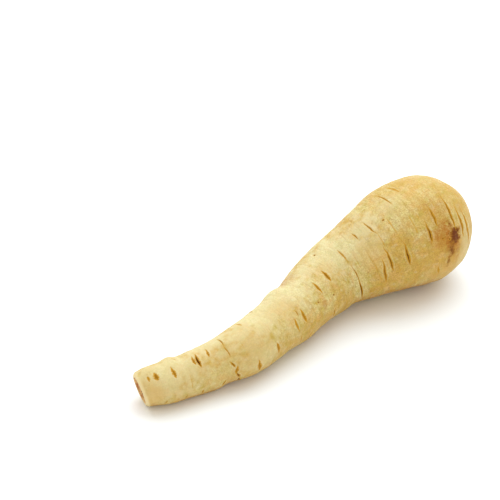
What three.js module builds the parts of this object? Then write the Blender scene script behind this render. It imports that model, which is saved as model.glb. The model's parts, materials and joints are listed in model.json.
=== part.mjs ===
// A parsnip: one tapering, slightly S-bent root that lies on its side.
//
// The root runs along +X from its cut tip to its crown and lies on the plane z = 0. All
// sizes are in millimetres. The skin is a lathed profile, thin at the tip, broad at the
// shoulder and sunk at the leaf scar, which is then laid along the bent middle line of
// the root, given its swellings, and flattened a little where it lies.

import * as THREE from 'three';

// The root's course: how far along it a section lies, how far its middle stands to the
// left of the straight line from tip to crown, and its radius there.
const SECTIONS = [
  { along: 0, aside: 3.0, girth: 8.7 },
  { along: 10, aside: -0.8, girth: 10.9 },
  { along: 25, aside: -3.9, girth: 11.1 },
  { along: 40, aside: -5.8, girth: 11.6 },
  { along: 55, aside: -8.4, girth: 13.8 },
  { along: 70, aside: -6.3, girth: 14.1 },
  { along: 85, aside: -3.6, girth: 15.1 },
  { along: 100, aside: -0.6, girth: 15.6 },
  { along: 115, aside: 4.2, girth: 17.1 },
  { along: 130, aside: 7.4, girth: 18.9 },
  { along: 145, aside: 6.6, girth: 21.9 },
  { along: 160, aside: 4.2, girth: 26.0 },
  { along: 175, aside: 2.1, girth: 29.0 },
  { along: 190, aside: -0.9, girth: 30.0 },
  { along: 202, aside: -4.0, girth: 29.7 },
  { along: 214, aside: -7.0, girth: 29.0 },
];

// Swellings and dents between the root's main creases. Each fades out over its reach
// along the root, in millimetres, and its spread around it, in degrees. The angle around
// the root starts at its right-hand side and turns up over the top.
const SWELLINGS = [
  { along: 4, angle: 130, reach: 6, spread: 50, height: 1.0 },
  { along: 11, angle: 130, reach: 4, spread: 40, height: -0.7 },
  { along: 16, angle: 135, reach: 4, spread: 45, height: 0.7 },
  { along: 34, angle: 315, reach: 5, spread: 45, height: 0.9 },
  { along: 47, angle: 310, reach: 5, spread: 45, height: -0.7 },
  { along: 80, angle: 310, reach: 6, spread: 45, height: -0.8 },
  { along: 83, angle: 150, reach: 6, spread: 45, height: -0.9 },
  { along: 91, angle: 142, reach: 5, spread: 40, height: 1.1 },
  { along: 95, angle: 322, reach: 5, spread: 35, height: 0.5 },
  { along: 102, angle: 330, reach: 5, spread: 40, height: -0.5 },
  { along: 122, angle: 318, reach: 7, spread: 45, height: 0.9 },
  { along: 135, angle: 322, reach: 6, spread: 40, height: -1.0 },
  { along: 170, angle: 135, reach: 7, spread: 40, height: 0.6 },
  { along: 202, angle: 105, reach: 8, spread: 35, height: -0.9 },
];

const TIP_RIM = 2.2; // radius of the worn rim around the cut tip
const TIP_DISH = 0.6; // depth to which the cut face has shrunk
const SHOULDER = 29; // length over which the crown rounds off
const SHOULDER_FULLNESS_ALONG = 2.25; // 2 is an ellipse, more is a squarer shoulder
const SHOULDER_FULLNESS_ACROSS = 2.2;
const SCAR_RADIUS = 10.5; // mouth of the sunken leaf scar
const SCAR_LIP = 1.0; // how far the skin rolls into the scar
const SCAR_WALL_LEAN = 0.8; // how much narrower the scar's floor is than its mouth
const SCAR_DEPTH = 3.6; // floor of the scar below its lip
const BED = 0.4; // how far the underside is flattened where the root lies

const SECTORS = 48; // facets around the root
const FLANK_STEP = 3.5; // facet length along the root
const RIM_STEPS = 4; // facets around the worn rim of the tip
const SHOULDER_STEPS = 12; // facets along the crown's shoulder
const TANGENT_STEP = 0.5; // distance over which the course's direction is measured

const firstAlong = SECTIONS[0].along;
const lastAlong = SECTIONS[SECTIONS.length - 1].along;
const shoulderStart = lastAlong - SHOULDER;

/** Slope of one section value at a section, taken across its neighbours. */
function slopeAt(index, key) {
  const before = SECTIONS[Math.max(index - 1, 0)];
  const after = SECTIONS[Math.min(index + 1, SECTIONS.length - 1)];
  return (after[key] - before[key]) / (after.along - before.along);
}

/** A section value at any distance along the root, on a smooth curve through them all. */
function course(along, key) {
  const held = THREE.MathUtils.clamp(along, firstAlong, lastAlong);
  let index = SECTIONS.findIndex((section) => section.along > held) - 1;
  if (index < 0) index = SECTIONS.length - 2;
  const from = SECTIONS[index];
  const to = SECTIONS[index + 1];
  const span = to.along - from.along;
  const t = (held - from.along) / span;
  const fromShare = (1 + 2 * t) * (1 - t) ** 2;
  const fromSlope = t * (1 - t) ** 2 * span * slopeAt(index, key);
  const toSlope = t * t * (t - 1) * span * slopeAt(index + 1, key);
  return fromShare * from[key] + fromSlope + (1 - fromShare) * to[key] + toSlope;
}

/** Middle of the root at a distance along it, high enough that the root lies on z = 0. */
function middle(along) {
  const height = course(along, 'girth') - BED;
  return new THREE.Vector3(along, course(along, 'aside'), height);
}

/** Direction of the root's middle line, from tip to crown. */
function direction(along) {
  const ahead = Math.min(along + TANGENT_STEP, lastAlong);
  const behind = Math.max(along - TANGENT_STEP, firstAlong);
  return middle(ahead).sub(middle(behind)).normalize();
}

/** Half outline of the root, from the middle of the cut tip to the middle of the scar. */
function rootProfile() {
  const points = [];
  const add = (radius, along) => points.push(new THREE.Vector2(radius, along));

  // The cut tip: a dished face inside a worn rim.
  const faceRadius = course(TIP_RIM, 'girth') - TIP_RIM;
  add(0, TIP_DISH);
  add(faceRadius / 2, TIP_DISH * 0.8);
  for (let step = 0; step <= RIM_STEPS; step += 1) {
    const turn = (step / RIM_STEPS) * (Math.PI / 2);
    add(faceRadius + TIP_RIM * Math.sin(turn), TIP_RIM * (1 - Math.cos(turn)));
  }

  // The tapering flank.
  const flankSteps = Math.round((shoulderStart - TIP_RIM) / FLANK_STEP);
  for (let step = 1; step < flankSteps; step += 1) {
    const along = TIP_RIM + (step / flankSteps) * (shoulderStart - TIP_RIM);
    add(course(along, 'girth'), along);
  }

  // The rounded shoulder, as far in as the lip of the scar.
  const lipShare = (SCAR_RADIUS + SCAR_LIP) / course(lastAlong, 'girth');
  const lipTurn = Math.acos(lipShare ** (SHOULDER_FULLNESS_ACROSS / 2));
  for (let step = 0; step <= SHOULDER_STEPS; step += 1) {
    const turn = (step / SHOULDER_STEPS) * lipTurn;
    const along = shoulderStart + SHOULDER * Math.sin(turn) ** (2 / SHOULDER_FULLNESS_ALONG);
    const share = Math.cos(turn) ** (2 / SHOULDER_FULLNESS_ACROSS);
    add(course(along, 'girth') * share, along);
  }

  // The leaf scar: a rolled lip, a steep wall and a flat floor.
  const mouth = points[points.length - 1].y;
  add(SCAR_RADIUS + SCAR_LIP * 0.3, mouth - SCAR_LIP * 0.1);
  add(SCAR_RADIUS, mouth - SCAR_LIP);
  add(SCAR_RADIUS - SCAR_WALL_LEAN, mouth - SCAR_DEPTH);
  add(SCAR_RADIUS / 2, mouth - SCAR_DEPTH);
  add(0, mouth - SCAR_DEPTH);
  return points;
}

/** Height of the swellings and dents at a place on the skin. */
function swelling(along, angle) {
  let height = 0;
  for (const swell of SWELLINGS) {
    const apart = THREE.MathUtils.euclideanModulo(angle - swell.angle + 180, 360) - 180;
    const farAlong = (along - swell.along) / swell.reach;
    const farAround = apart / swell.spread;
    height += swell.height * Math.exp(-(farAlong ** 2) - farAround ** 2);
  }
  return height;
}

/** Lays a straight lathed root along the bent course and flattens its underside. */
function bend(geometry) {
  const position = geometry.getAttribute('position');
  const up = new THREE.Vector3(0, 0, 1);
  for (let index = 0; index < position.count; index += 1) {
    const along = position.getY(index);
    const right = position.getX(index);
    const rise = position.getZ(index);
    const angle = THREE.MathUtils.radToDeg(Math.atan2(rise, right));
    const scale = 1 + swelling(along, angle) / course(along, 'girth');
    const forward = direction(along);
    const sideways = new THREE.Vector3().crossVectors(forward, up).normalize();
    const upward = new THREE.Vector3().crossVectors(sideways, forward);
    const point = middle(along).setX(along);
    point.addScaledVector(sideways, right * scale);
    point.addScaledVector(upward, rise * scale);
    position.setXYZ(index, point.x, point.y, Math.max(point.z, 0));
  }
}

/** Moves the origin to the middle of the root's footprint, on the plane it lies on. */
function centre(geometry) {
  geometry.computeBoundingBox();
  const box = geometry.boundingBox;
  geometry.translate(-(box.min.x + box.max.x) / 2, -(box.min.y + box.max.y) / 2, 0);
  geometry.computeVertexNormals();
}

function makeRoot() {
  const geometry = new THREE.LatheGeometry(rootProfile(), SECTORS);
  bend(geometry);
  centre(geometry);
  const skin = new THREE.MeshStandardMaterial({ color: 0xe6cf8e, roughness: 0.55, metalness: 0 });
  const root = new THREE.Mesh(geometry, skin);
  root.name = 'parsnip_root';
  return root;
}

const parsnip = new THREE.Group();
parsnip.name = 'parsnip';
parsnip.add(makeRoot());

export default parsnip;
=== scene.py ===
"""The looks of a parsnip: its creased skin, its sunken leaf scar and its trimmed tip.

A place on the root is given in its own terms: how far along it lies, in millimetres from
the trimmed tip to the crown, and its angle around the root, in degrees from the right-hand
side up over the top. Lengths on the skin are in millimetres, and Blender's are in metres.
"""

import json
import logging
import math
from dataclasses import dataclass, field
from enum import Enum, IntEnum
from typing import Callable

import bpy
import numpy as np
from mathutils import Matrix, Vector

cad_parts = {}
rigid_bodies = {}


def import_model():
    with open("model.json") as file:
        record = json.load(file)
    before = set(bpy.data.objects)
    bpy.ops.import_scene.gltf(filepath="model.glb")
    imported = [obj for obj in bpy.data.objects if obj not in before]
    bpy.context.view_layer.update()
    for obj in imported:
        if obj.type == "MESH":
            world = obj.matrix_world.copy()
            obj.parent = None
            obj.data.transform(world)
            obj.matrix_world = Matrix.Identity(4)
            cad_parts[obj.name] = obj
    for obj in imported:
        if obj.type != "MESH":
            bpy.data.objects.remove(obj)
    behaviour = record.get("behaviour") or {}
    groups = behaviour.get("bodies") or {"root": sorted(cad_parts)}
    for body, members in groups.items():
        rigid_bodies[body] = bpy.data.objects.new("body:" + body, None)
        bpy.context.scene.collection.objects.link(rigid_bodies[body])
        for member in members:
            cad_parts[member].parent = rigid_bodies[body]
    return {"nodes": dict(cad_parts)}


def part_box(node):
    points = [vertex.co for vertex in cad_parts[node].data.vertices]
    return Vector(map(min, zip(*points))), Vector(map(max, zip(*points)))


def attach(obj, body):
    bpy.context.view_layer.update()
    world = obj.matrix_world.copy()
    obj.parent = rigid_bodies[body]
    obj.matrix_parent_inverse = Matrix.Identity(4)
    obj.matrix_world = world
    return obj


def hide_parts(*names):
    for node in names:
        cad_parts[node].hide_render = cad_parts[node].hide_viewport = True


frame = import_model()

LOG = logging.getLogger("parsnip")
NODE = "parsnip_root"
BODY = "root"
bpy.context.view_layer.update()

# A millimetre, in metres.
MM = 0.001
# The gap of skin that lies far from every crease, where an edge has a gap of 1.
FAR_OFF = 4.0

# Red, green, blue and opacity.
Paint = tuple[float, float, float, float]
# X, Y and Z.
Place = tuple[float, float, float]
# The gaps to a mark's floor and to its stain, and the weights of the two.
Gaps = tuple[np.ndarray, np.ndarray, np.ndarray, np.ndarray]
Socket = bpy.types.NodeSocket


# ---------------------------------------------------------------- small tools


def unit(vectors: np.ndarray) -> np.ndarray:
    """Returns vectors scaled to a length of one."""
    return vectors / np.linalg.norm(vectors, axis=-1, keepdims=True)


def bump(distance: np.ndarray, reach: float) -> np.ndarray:
    """Returns a smooth hill, 1 where the distance is 0 and fading over its reach."""
    return np.exp(-((distance / reach) ** 2))


def ramp(values: np.ndarray, low: float, high: float) -> np.ndarray:
    """Returns a smooth step from 0 at one value to 1 at the other."""
    share = np.clip((values - low) / (high - low), 0.0, 1.0)
    return share * share * (3.0 - 2.0 * share)


def band(values: np.ndarray, rise: tuple[float, float], fall: tuple[float, float]) -> np.ndarray:
    """Returns 1 between where it rises and where it falls, and 0 outside."""
    return ramp(values, *rise) * (1 - ramp(values, *fall))


def turned(angle: np.ndarray) -> np.ndarray:
    """Returns angles in degrees as the same angles from -180 to 180."""
    return (angle + 180.0) % 360.0 - 180.0


def vertex_rows(mesh: bpy.types.Mesh, kind: str = "co") -> np.ndarray:
    """Reads three numbers for each vertex of a mesh.

    Args:
        mesh: The mesh.
        kind: What is read, "co" for places or "normal" for normals.

    Returns:
        One row for each vertex.
    """
    rows = np.zeros(len(mesh.vertices) * 3, np.float32)
    mesh.vertices.foreach_get(kind, rows)
    return rows.reshape(-1, 3).astype(float)


def vertex_values(mesh: bpy.types.Mesh, name: str) -> np.ndarray:
    """Reads a stored number for each vertex of a mesh.

    Args:
        mesh: The mesh.
        name: The attribute's name.

    Returns:
        One number for each vertex.
    """
    values = np.zeros(len(mesh.vertices), np.float32)
    mesh.attributes[name].data.foreach_get("value", values)
    return values


def edge_ends(mesh: bpy.types.Mesh) -> np.ndarray:
    """Reads the two vertices of each edge of a mesh.

    Args:
        mesh: The mesh.

    Returns:
        A row with each edge's first vertex and a row with its second.
    """
    ends = np.zeros(len(mesh.edges) * 2, int)
    mesh.edges.foreach_get("vertices", ends)
    return ends.reshape(-1, 2).T


def move_points(mesh: bpy.types.Mesh, points: np.ndarray) -> None:
    """Puts a mesh's vertices at the given points."""
    mesh.vertices.foreach_set("co", points.astype(np.float32).ravel())
    mesh.update()


def store(mesh: bpy.types.Mesh, name: str, values: np.ndarray) -> None:
    """Keeps a number or a vector for each vertex as a named attribute.

    Args:
        mesh: The mesh.
        name: The attribute's name.
        values: One number or one vector for each vertex.
    """
    vector = values.ndim == 2
    attribute = mesh.attributes.new(name, "FLOAT_VECTOR" if vector else "FLOAT", "POINT")
    attribute.data.foreach_set("vector" if vector else "value", values.astype(np.float32).ravel())


def deselect_all() -> None:
    """Deselects every object."""
    for other in bpy.context.scene.objects:
        other.select_set(False)


def edit(piece: bpy.types.Object, *steps: Callable[[], object]) -> None:
    """Runs mesh operators on one piece in edit mode.

    Args:
        piece: The piece, which is alone selected and active.
        *steps: Calls that run the operators.
    """
    deselect_all()
    piece.select_set(True)
    bpy.context.view_layer.objects.active = piece
    bpy.ops.object.mode_set(mode="EDIT")
    for step in steps:
        step()
    bpy.ops.object.mode_set(mode="OBJECT")


def cut_edges(piece: bpy.types.Object, chosen: np.ndarray, cuts: int) -> None:
    """Cuts the chosen edges of a piece, each into equal parts.

    Args:
        piece: The piece.
        chosen: Whether each of its edges is cut.
        cuts: Cuts in each edge.
    """
    edit(piece, lambda: bpy.ops.mesh.select_mode(type="EDGE"),
         lambda: bpy.ops.mesh.select_all(action="DESELECT"))
    piece.data.edges.foreach_set("select", chosen)
    edit(piece, lambda: bpy.ops.mesh.subdivide(number_cuts=cuts))


class Seed(IntEnum):
    """Seeds of the random draws, one for each thing that they shape."""

    LUMPS = 3
    RINGS = 4
    WANDER = 5
    PATCH_EDGES = 6
    CORK = 8
    RIM_STRAY = 9
    RIM_WEAR = 10
    TIP_CRUMBS = 12
    FINE_RINGS = 14
    FINE_WANDER = 15
    WEATHERING = 16
    FIBRES = 21
    FINE_FIBRES = 22
    FAR_CREASES = 27
    FAR_PATCHES = 28


class Grain:
    """Smooth seeded noise in space, the same on every run."""

    def __init__(self, seed: Seed, size: int = 32) -> None:
        """Fills a lattice with random values.

        Args:
            seed: Seed of the values.
            size: Values along each side of the lattice, which repeats.
        """
        self.size = size
        self.lattice = np.random.default_rng(seed).uniform(-1, 1, (size, size, size))

    def at(self, points: np.ndarray) -> np.ndarray:
        """Reads the noise at some points.

        Args:
            points: The points, one lattice step apart per unit.

        Returns:
            The noise at each point, from -1 to 1.
        """
        cell = np.floor(points).astype(int)
        part = points - cell
        part = part * part * (3 - 2 * part)
        total = np.zeros(len(points))
        for corner in np.ndindex(2, 2, 2):
            weight = np.prod(np.where(corner, part, 1 - part), axis=1)
            index = (cell + corner) % self.size
            total += weight * self.lattice[index[:, 0], index[:, 1], index[:, 2]]
        return total

    def rough(self, points: np.ndarray, octaves: int = 3) -> np.ndarray:
        """Returns several layers of the noise, each twice as fine and half as high."""
        layers = [self.at(points * 2.0**k + 7.3 * k) / 2.0**k for k in range(octaves)]
        return np.sum(layers, axis=0)


# ---------------------------------------------------------------- places on the root


@dataclass(frozen=True)
class Course:
    """The root's bent middle line, measured on its solid.

    Attributes:
        stations: Distance of each measured section along the frame's X, in metres.
        middles: Middle of each section, as Y and Z in metres.
        start: Distance of the tip's end along X.
        smoothing: Half the reach over which the line's direction is measured.
        rounds: How often a point's place along the line is made more exact.
    """

    stations: np.ndarray
    middles: np.ndarray
    start: float
    smoothing: float = 4 * MM
    rounds: int = 5

    @classmethod
    def of_node(cls, name: str, sections: int = 90, reach: float = 4 * MM,
                evening: float = 9 * MM) -> "Course":
        """Measures the middle line of a node.

        Args:
            name: The node's name.
            sections: How many sections are measured.
            reach: Half the thickness of each section.
            evening: Distance over which the middles are evened out.

        Returns:
            The measured course.
        """
        points = vertex_rows(frame["nodes"][name].data)
        low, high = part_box(name)
        stations = np.linspace(low.x + reach, high.x - 2 * reach, sections)
        middles = []
        for station in stations:
            section = points[np.abs(points[:, 0] - station) < reach]
            middles.append((section[:, 1:].min(0) + section[:, 1:].max(0)) / 2)
        near = bump(stations[:, None] - stations[None, :], evening)
        return cls(stations, near @ np.array(middles) / near.sum(1, keepdims=True), low.x)

    def middle(self, x: np.ndarray) -> np.ndarray:
        """Returns the middle line's points at the given distances along X."""
        y, z = (np.interp(x, self.stations, self.middles[:, axis]) for axis in (0, 1))
        return np.stack([x, y, z], -1)

    def axes(self, x: np.ndarray) -> tuple[np.ndarray, np.ndarray, np.ndarray]:
        """Gives the line's own axes at some distances along X.

        Args:
            x: Distances along X.

        Returns:
            Unit vectors forward along the root, to its right and upward across it.
        """
        held = np.clip(x, self.stations[0] + self.smoothing, self.stations[-1] - self.smoothing)
        forward = unit(self.middle(held + self.smoothing) - self.middle(held - self.smoothing))
        right = unit(np.cross(forward, (0.0, 0.0, 1.0)))
        return forward, right, np.cross(right, forward)

    def locate(self, points: np.ndarray) -> "Places":
        """Finds where points lie on the root.

        Args:
            points: Points in the frame, in metres.

        Returns:
            The same points in the root's own terms.
        """
        x = points[:, 0].copy()
        for _ in range(self.rounds):
            ahead = ((points - self.middle(x)) * self.axes(x)[0]).sum(1)
            x = np.clip(x + ahead, self.start, -self.start)  # the root's middle is at X = 0
        _, right, upward = self.axes(x)
        offset = points - self.middle(x)
        across, rise = (offset * right).sum(1), (offset * upward).sum(1)
        angle = np.degrees(np.arctan2(rise, across))
        return Places((x - self.start) / MM, angle, np.hypot(across, rise) / MM)


@dataclass(frozen=True)
class Places:
    """Points in the root's own terms.

    Attributes:
        along: Distance from the trimmed tip, in millimetres.
        angle: Angle around the root, in degrees.
        radius: Distance from the root's middle line, in millimetres.
    """

    along: np.ndarray
    angle: np.ndarray
    radius: np.ndarray

    def arc_from(self, angle: float) -> np.ndarray:
        """Returns how far around the skin each point is from an angle, in millimetres."""
        return np.radians(turned(self.angle - angle)) * self.radius

    def around(self, along: float, angle: float) -> np.ndarray:
        """Returns how far over the skin each point is from a place, in millimetres."""
        return np.hypot(self.along - along, self.arc_from(angle))

    def straightened(self) -> np.ndarray:
        """Returns the same root's points with its bends taken out, in millimetres."""
        turn = np.radians(self.angle)
        return np.stack([self.along, self.radius * np.cos(turn), self.radius * np.sin(turn)], -1)


@dataclass(frozen=True)
class EndFace:
    """The flat face at one end of the root, measured on its solid.

    Attributes:
        centre: Middle of the face.
        outward: Unit vector out of it.
        right: Unit vector across it, level.
        upward: Unit vector across it, square to the other two.
    """

    centre: np.ndarray
    outward: np.ndarray
    right: np.ndarray
    upward: np.ndarray

    @classmethod
    def at(cls, name: str, side: float, reach: float = 14 * MM, within: float = 4.0,
           even: float = 4.0) -> "EndFace":
        """Finds the flattest part of the solid at one end.

        Args:
            name: The node's name.
            side: 1 for the crown's end, -1 for the tip's.
            reach: How far from the end the face may lie.
            within: The middle is that of everything that faces outward within this many
                degrees.
            even: How many degrees the directions of a flat part's faces may differ.

        Returns:
            The measured face.
        """
        mesh = frame["nodes"][name].data
        low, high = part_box(name)
        end = high.x if side > 0 else low.x
        near = [p for p in mesh.polygons
                if abs(p.center.x - end) < reach and p.normal.x * side > 0.5]
        normals = np.array([p.normal for p in near])
        alike = normals @ normals.T > math.cos(math.radians(even))
        areas = np.array([p.area for p in near])
        share = areas * alike[int(np.argmax(alike @ areas))]
        outward = unit((normals * share[:, None]).sum(0))
        right = unit(np.cross(outward, (0.0, 0.0, 1.0)))
        flat = weighed([p.center for p in near], share)
        least = math.cos(math.radians(within))
        faced = [p for p in mesh.polygons
                 if abs(p.center.x - end) < 2 * reach and p.normal.dot(outward) > least]
        middle = weighed([p.center for p in faced], [p.area for p in faced])
        centre = middle + outward * ((flat - middle) @ outward)
        return cls(centre, outward, right, np.cross(right, outward))

    def flat(self, points: np.ndarray) -> "FacePlaces":
        """Returns points of the frame, in metres, in the face's own terms."""
        offset = (points - self.centre) / MM
        return FacePlaces(offset @ self.right, offset @ self.upward, offset @ self.outward)

    def pushed(self, points: np.ndarray, lift: np.ndarray) -> np.ndarray:
        """Returns points moved out of the face by this many millimetres each."""
        return points + self.outward * lift[:, None] * MM


@dataclass(frozen=True)
class FacePlaces:
    """Points in an end face's own terms, in millimetres.

    Attributes:
        right: Distance to the right of the face's middle.
        up: Distance upward from it.
        out: Distance out of the face.
    """

    right: np.ndarray
    up: np.ndarray
    out: np.ndarray

    @property
    def far(self) -> np.ndarray:
        """How far each point is from the face's middle, across the face."""
        return np.hypot(self.right, self.up)

    def rough(self, seed: Seed, size: float, octaves: int) -> np.ndarray:
        """Returns noise over the face, with lumps of this size."""
        rows = np.stack([self.right, self.up, np.zeros(len(self.right))], -1)
        return Grain(seed).rough(rows / size, octaves)


def weighed(points: list, weights: list) -> np.ndarray:
    """Returns the middle of some points, each with its weight."""
    weights = np.array(weights)
    return (np.array(points) * weights[:, None]).sum(0) / weights.sum()


# ---------------------------------------------------------------- marks on the skin


@dataclass(frozen=True)
class Groove:
    """The look of one kind of crease. Its lengths are in millimetres.

    Attributes:
        depth: Depth of the groove.
        width: Half-width of the groove.
        core: How dark the groove is.
        stain: How strongly it stains the skin beside it.
        stain_width: Half-width of the stain.
    """

    depth: float
    width: float
    core: float
    stain: float
    stain_width: float


class Kind(Enum):
    """The kinds of crease, from the darkest to the faintest."""

    GASH = Groove(0.55, 0.36, 1.00, 0.92, 1.05)
    CREASE = Groove(0.42, 0.30, 0.70, 0.85, 0.86)
    LENS = Groove(0.26, 0.40, 0.18, 0.84, 0.92)
    LINE = Groove(0.24, 0.24, 0.30, 0.60, 0.48)
    TRACE = Groove(0.14, 0.26, 0.00, 0.42, 0.42)


@dataclass(frozen=True)
class Crease:
    """A groove that runs part of the way around the root.

    Attributes:
        along: Where it lies along the root.
        upper: Angle of its upper end.
        lower: Angle of its lower end.
        kind: What it looks like.
        weight: Scales its depth and colour.
        lean: How far its lower end lies nearer the crown than its upper end.
        heavy: Where it is strongest, from -1 at the upper end to 1 at the lower.
        thin: Share of its width that it keeps away from there.
    """

    along: float
    upper: float
    lower: float
    kind: Kind
    weight: float = 1.0
    lean: float = 0.0
    heavy: float = 0.2
    thin: float = 0.3

    def nearness(self, places: Places, wander: np.ndarray) -> tuple[np.ndarray, np.ndarray]:
        """Measures how points lie to the crease.

        Args:
            places: The points.
            wander: How far the crease's line strays along the root at each point.

        Returns:
            Distance from the crease's line in millimetres, less than 0 on the tip's side,
            and the share of its full width that it has there, 0 past its ends.
        """
        half = max(abs(self.upper - self.lower) / 2, 1.0)
        share = -turned(places.angle - (self.upper + self.lower) / 2) / half
        strong = self.thin + (1 - self.thin) * bump(share - self.heavy, 0.8)
        taper = np.sqrt(np.clip(1 - share**2, 0, 1)) * strong
        return places.along - (self.along + self.lean * share / 2 + wander), taper

    def gaps(self, places: Places, wander: np.ndarray) -> Gaps:
        """Measures how far points are from the crease's groove and its stain.

        Args:
            places: The points.
            wander: How far the crease's line strays along the root at each point.

        Returns:
            The gap to its groove, the gap to its stain, and the weights of the two.
        """
        look = self.kind.value
        across, taper = self.nearness(places, wander)
        size = np.maximum(taper, 1e-3) * (0.5 + 0.5 * self.weight)  # never quite 0
        to_core = np.abs(across) / (look.width * size)
        if look.core == 0:
            to_core[:] = FAR_OFF
        to_stain = np.abs(across) / (look.stain_width * size)
        strength = min(self.weight, 1.05)  # a heavier crease is only wider and deeper
        core = look.core * strength * ramp(taper, 0.25, 0.85)
        stain = look.stain * strength * (0.55 + 0.45 * ramp(taper, 0.1, 0.8))
        return to_core, to_stain, core, stain


@dataclass(frozen=True)
class Pit:
    """A round pore in the skin.

    Attributes:
        along: Where it lies along the root.
        angle: Where it lies around the root.
        size: Its radius, in millimetres.
        depth: Its depth, in millimetres.
        stain: How strongly the skin around it is stained.
    """

    along: float
    angle: float
    size: float = 0.45
    depth: float = 0.35
    # stain: How strongly it stains the skin around it.
    stain: float = 0.5

    def far(self, places: Places) -> np.ndarray:
        """Returns how far each point is from the pit's middle, in millimetres."""
        return places.around(self.along, self.angle)

    def gaps(self, places: Places) -> Gaps:
        """Returns the gaps to its floor and its stain, and the weights of the two."""
        gap = self.far(places) / self.size
        return gap, gap / 2.0, np.full(len(gap), 1.0), np.full(len(gap), self.stain)


class Tint(Enum):
    """What a patch does to the skin's colour."""

    BRUISE = "bruise"
    TAN = "tan"
    PALE = "pale"
    WARM = "warm"


@dataclass(frozen=True)
class Patch:
    """A patch of other colour on the skin.

    Attributes:
        along: Middle of the patch along the root.
        angle: Middle of the patch around the root.
        length: Its half-length along the root.
        width: Its half-width around the root, in millimetres.
        tint: What it does to the colour.
        weight: How strong it is.
        ragged: How far its edge strays, as a share of its size.
    """

    along: float
    angle: float
    length: float
    width: float
    tint: Tint
    weight: float = 1.0
    ragged: float = 0.45

    def cover(self, places: Places, stray: np.ndarray) -> np.ndarray:
        """Returns how strongly the patch covers each point, where its edge strays so."""
        far = np.hypot((places.along - self.along) / self.length,
                       places.arc_from(self.angle) / self.width)
        return self.weight * (1 - ramp(far + self.ragged * stray, 0.35, 1.25))


@dataclass(frozen=True)
class Swell:
    """A small rise or dip of the skin.

    Attributes:
        along: Its middle along the root.
        angle: Its middle around the root.
        length: Its reach along the root.
        spread: Its reach around the root, in degrees.
        height: How high it stands, less than 0 for a dip.
    """

    along: float
    angle: float
    length: float
    spread: float
    height: float

    def rise(self, places: Places) -> np.ndarray:
        """Returns its height at each point."""
        return (self.height * bump(places.along - self.along, self.length)
                * bump(turned(places.angle - self.angle), self.spread))


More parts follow.
